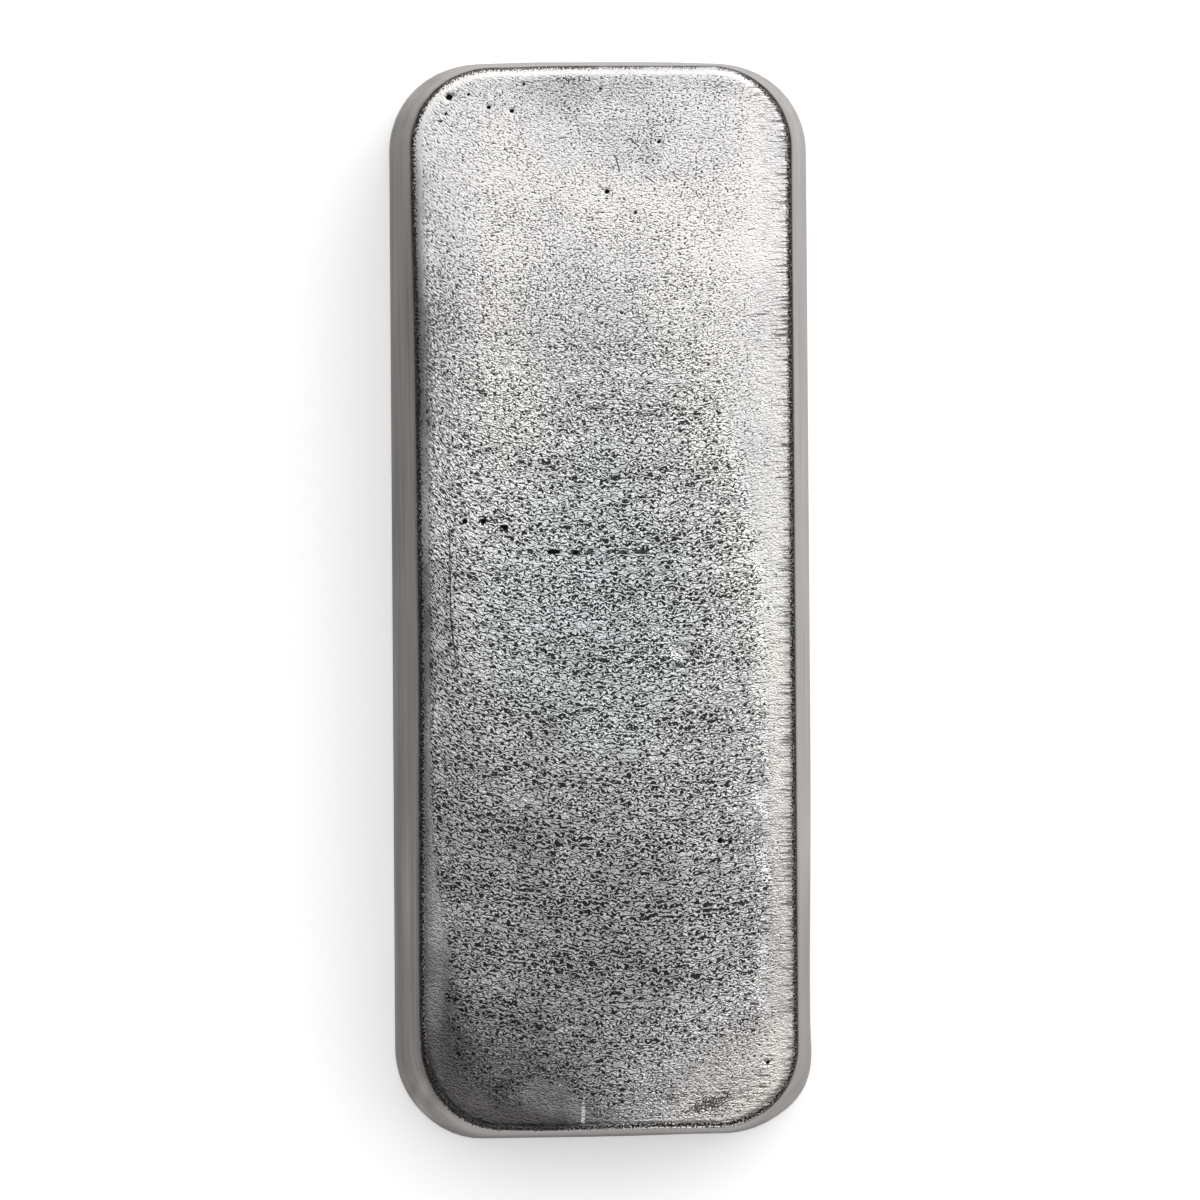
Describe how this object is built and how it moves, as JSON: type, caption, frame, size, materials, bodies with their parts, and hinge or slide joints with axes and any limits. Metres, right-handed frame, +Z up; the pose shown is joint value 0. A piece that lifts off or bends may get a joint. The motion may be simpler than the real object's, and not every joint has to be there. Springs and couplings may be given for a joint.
{
  "type": "cast silver bar",
  "caption": "Plain cast silver bar: a solid metal block with leaning walls, round corners, a grained face and rounded edges, lying on its wider poured side.",
  "frame": {"origin": "centre of the bar's outline on the level surface that it lies on", "axes": "+Z up, from the wide poured side to the narrower grained face; +Y along the bar's length; +X across its width"},
  "size_m": [0.0474, 0.122, 0.0183],
  "materials": {
    "cast_silver": "satin"
  },
  "bodies": {
    "root": {"silver_bar": "cast_silver"}
  },
  "joints": []
}
